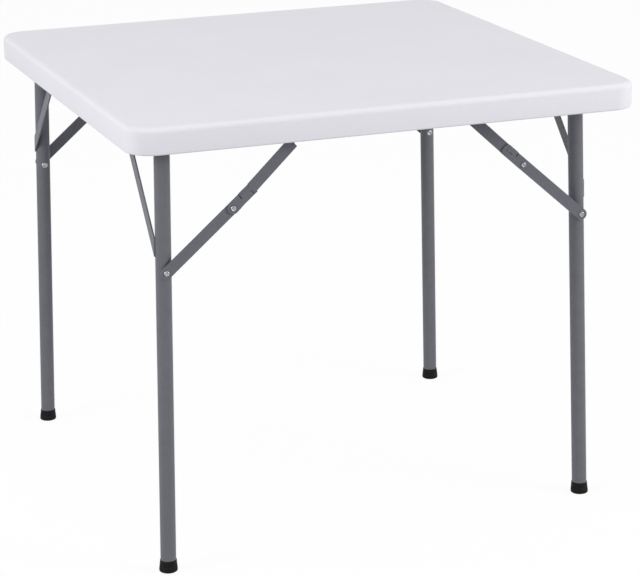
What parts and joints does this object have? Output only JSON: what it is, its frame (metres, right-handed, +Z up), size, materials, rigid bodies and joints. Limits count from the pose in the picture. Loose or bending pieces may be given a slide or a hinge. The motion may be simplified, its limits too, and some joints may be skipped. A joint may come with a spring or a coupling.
{
  "type": "folding table",
  "caption": "Square moulded-top folding card table on tubular leg frames that fold flat under it, each leg held by a fixed corner brace and a locking hinged brace.",
  "frame": {"origin": "on the floor under the middle of the square top", "axes": "+Z up through the top, +Y from the front edge to the rear edge along both crossbars, +X to the side of the narrow leg frame"},
  "size_m": [0.864, 0.864, 0.743],
  "materials": {
    "top_plastic": "pale grey-white moulded polyethylene with a fine pebbled grain",
    "frame_paint": "semi-matt grey powder coat on steel tube",
    "brace_paint": "semi-matt grey powder coat on flat steel bar",
    "foot_rubber": "black moulded foot cap",
    "black_plastic": "black moulded plastic",
    "zinc_steel": "bright zinc-plated steel"
  },
  "bodies": {
    "tabletop": {"tabletop_shell": "top_plastic", "left_front_bracket": "brace_paint", "left_front_bearing_block": "black_plastic", "left_front_saddle_strap": "brace_paint", "left_rear_bracket": "brace_paint", "left_rear_bearing_block": "black_plastic", "left_rear_saddle_strap": "brace_paint", "right_front_bracket": "brace_paint", "right_front_bearing_block": "black_plastic", "right_front_saddle_strap": "brace_paint", "right_rear_bracket": "brace_paint", "right_rear_bearing_block": "black_plastic", "right_rear_saddle_strap": "brace_paint", "saddle_screws": "zinc_steel", "bracket_screws": "zinc_steel", "anchor_rivets": "zinc_steel", "anchor_washers": "zinc_steel"},
    "left_frame": {"left_crossbar": "frame_paint", "left_front_leg": "frame_paint", "left_front_foot_cap": "foot_rubber", "left_front_corner_brace": "brace_paint", "left_rear_leg": "frame_paint", "left_rear_foot_cap": "foot_rubber", "left_rear_corner_brace": "brace_paint", "left_crossbar_plugs": "black_plastic", "left_pivot_spacers": "black_plastic", "left_pivot_pins": "zinc_steel"},
    "right_frame": {"right_crossbar": "frame_paint", "right_front_leg": "frame_paint", "right_front_foot_cap": "foot_rubber", "right_front_corner_brace": "brace_paint", "right_rear_leg": "frame_paint", "right_rear_foot_cap": "foot_rubber", "right_rear_corner_brace": "brace_paint", "right_crossbar_plugs": "black_plastic", "right_pivot_spacers": "black_plastic", "right_pivot_pins": "zinc_steel"},
    "left_front_upper": {"left_front_upper_link": "brace_paint", "left_front_knee_rivet": "zinc_steel"},
    "left_front_lower": {"left_front_lower_link": "brace_paint", "left_front_pivot_head": "zinc_steel"},
    "left_rear_upper": {"left_rear_upper_link": "brace_paint", "left_rear_knee_rivet": "zinc_steel"},
    "left_rear_lower": {"left_rear_lower_link": "brace_paint", "left_rear_pivot_head": "zinc_steel"},
    "right_front_upper": {"right_front_upper_link": "brace_paint", "right_front_knee_rivet": "zinc_steel"},
    "right_front_lower": {"right_front_lower_link": "brace_paint", "right_front_pivot_head": "zinc_steel"},
    "right_rear_upper": {"right_rear_upper_link": "brace_paint", "right_rear_knee_rivet": "zinc_steel"},
    "right_rear_lower": {"right_rear_lower_link": "brace_paint", "right_rear_pivot_head": "zinc_steel"}
  },
  "joints": [
    {"name": "left_fold", "type": "hinge", "parent": "tabletop", "child": "left_frame", "pos_m": [-0.368, 0, 0.707], "axis": [0, -1, 0], "range_deg": [0, 91.25]},
    {"name": "right_fold", "type": "hinge", "parent": "tabletop", "child": "right_frame", "pos_m": [0.368, 0, 0.71], "axis": [0, 1, 0], "range_deg": [0, 91.25]},
    {"name": "left_front_anchor_pivot", "type": "hinge", "parent": "tabletop", "child": "left_front_upper", "pos_m": [-0.14, -0.3942, 0.7125], "axis": [0, 1, 0], "range_deg": [0, 42.78]},
    {"name": "left_front_knee", "type": "hinge", "parent": "left_front_upper", "child": "left_front_lower", "pos_m": [-0.26166, -0.3942, 0.59612], "axis": [0, -1, 0], "range_deg": [0, 181.39]},
    {"name": "left_rear_anchor_pivot", "type": "hinge", "parent": "tabletop", "child": "left_rear_upper", "pos_m": [-0.14, 0.3942, 0.7125], "axis": [0, 1, 0], "range_deg": [0, 42.78]},
    {"name": "left_rear_knee", "type": "hinge", "parent": "left_rear_upper", "child": "left_rear_lower", "pos_m": [-0.26166, 0.3942, 0.59612], "axis": [0, -1, 0], "range_deg": [0, 181.39]},
    {"name": "right_front_anchor_pivot", "type": "hinge", "parent": "tabletop", "child": "right_front_upper", "pos_m": [0.14, -0.3372, 0.7155], "axis": [0, -1, 0], "range_deg": [0, 41.67]},
    {"name": "right_front_knee", "type": "hinge", "parent": "right_front_upper", "child": "right_front_lower", "pos_m": [0.26385, -0.3372, 0.60155], "axis": [0, 1, 0], "range_deg": [0, 178.99]},
    {"name": "right_rear_anchor_pivot", "type": "hinge", "parent": "tabletop", "child": "right_rear_upper", "pos_m": [0.14, 0.3372, 0.7155], "axis": [0, -1, 0], "range_deg": [0, 41.67]},
    {"name": "right_rear_knee", "type": "hinge", "parent": "right_rear_upper", "child": "right_rear_lower", "pos_m": [0.26385, 0.3372, 0.60155], "axis": [0, 1, 0], "range_deg": [0, 178.99]}
  ],
  "couplings": [
    {"joint": "left_front_anchor_pivot", "follows": "left_fold", "ratio": 0.46875},
    {"joint": "left_front_knee", "follows": "left_fold", "ratio": 1.9878},
    {"joint": "left_rear_anchor_pivot", "follows": "left_fold", "ratio": 0.46875},
    {"joint": "left_rear_knee", "follows": "left_fold", "ratio": 1.9878},
    {"joint": "right_front_anchor_pivot", "follows": "right_fold", "ratio": 0.45656},
    {"joint": "right_front_knee", "follows": "right_fold", "ratio": 1.9614},
    {"joint": "right_rear_anchor_pivot", "follows": "right_fold", "ratio": 0.45656},
    {"joint": "right_rear_knee", "follows": "right_fold", "ratio": 1.9614}
  ]
}
